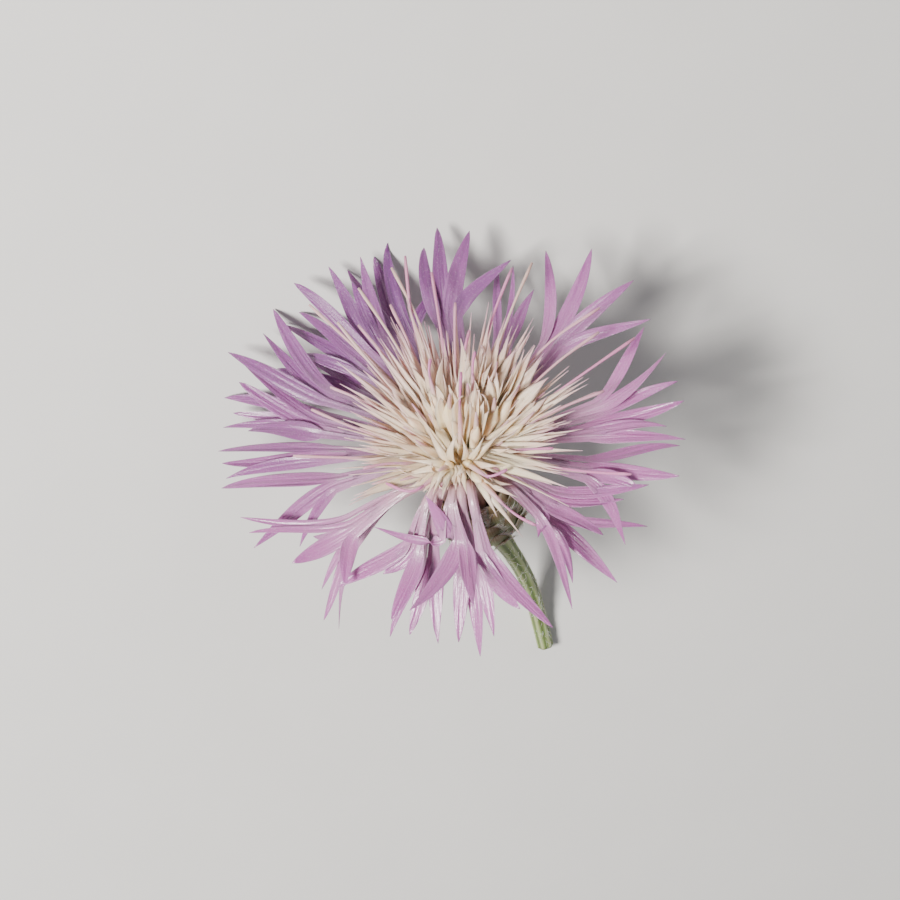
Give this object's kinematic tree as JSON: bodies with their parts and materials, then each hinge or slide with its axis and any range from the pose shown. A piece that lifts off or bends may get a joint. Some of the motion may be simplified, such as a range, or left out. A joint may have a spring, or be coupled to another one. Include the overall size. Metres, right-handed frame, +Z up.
{
  "type": "knapweed flower",
  "caption": "Picked knapweed flower lying on its ray tips and cut stem: ribbed stem, scaly ovoid involucre, spreading lilac lobed ray florets, tuft of cream disc florets.",
  "frame": {"origin": "centre of the flower's footprint, on the surface that it lies on", "axes": "+Z up from that surface, +Y along the cut stem away from the flower's face, +X across the head"},
  "size_m": [0.0646, 0.0724, 0.0468],
  "materials": {
    "stem": "fresh green ribbed stalk with short pale hairs",
    "involucre": "green and brown overlapping scales with pale fringes",
    "ray_petal": "satin lilac-pink petal, paler at the tube",
    "disc_petal": "satin cream petal with pinkish tips"
  },
  "bodies": {
    "root": {"stem": "stem", "involucre": "involucre", "ray_florets": "ray_petal", "disc_florets": "disc_petal"}
  },
  "joints": []
}
